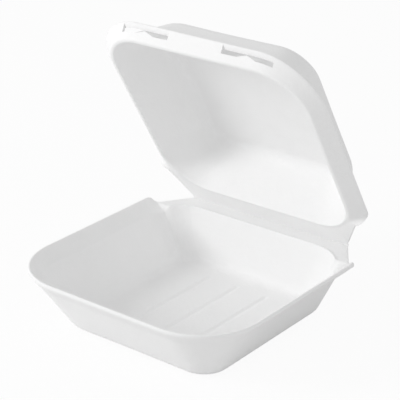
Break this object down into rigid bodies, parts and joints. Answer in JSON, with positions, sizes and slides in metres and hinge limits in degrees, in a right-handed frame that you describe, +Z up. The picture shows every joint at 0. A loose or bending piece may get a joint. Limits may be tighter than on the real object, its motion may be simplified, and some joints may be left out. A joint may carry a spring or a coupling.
{
  "type": "foam clamshell container",
  "caption": "Square foam food box moulded in one sheet, with a deep tray and a hinged lid whose front lip has closure slots.",
  "frame": {"origin": "middle of the underside of the tray's flat bottom", "axes": "+Z up, the opening faces -Y, and the hinge runs along X at the back"},
  "size_m": [0.15, 0.1651, 0.1658],
  "materials": {
    "foam": "matte white foam sheet with a faint bead texture"
  },
  "bodies": {
    "tray": {"base_tray": "foam"},
    "lid": {"lid": "foam"}
  },
  "joints": [
    {"name": "lid_hinge", "type": "hinge", "parent": "tray", "child": "lid", "pos_m": [0, 0.0684, 0.0352], "axis": [-1, 0, 0], "range_deg": [-59, 121]}
  ]
}
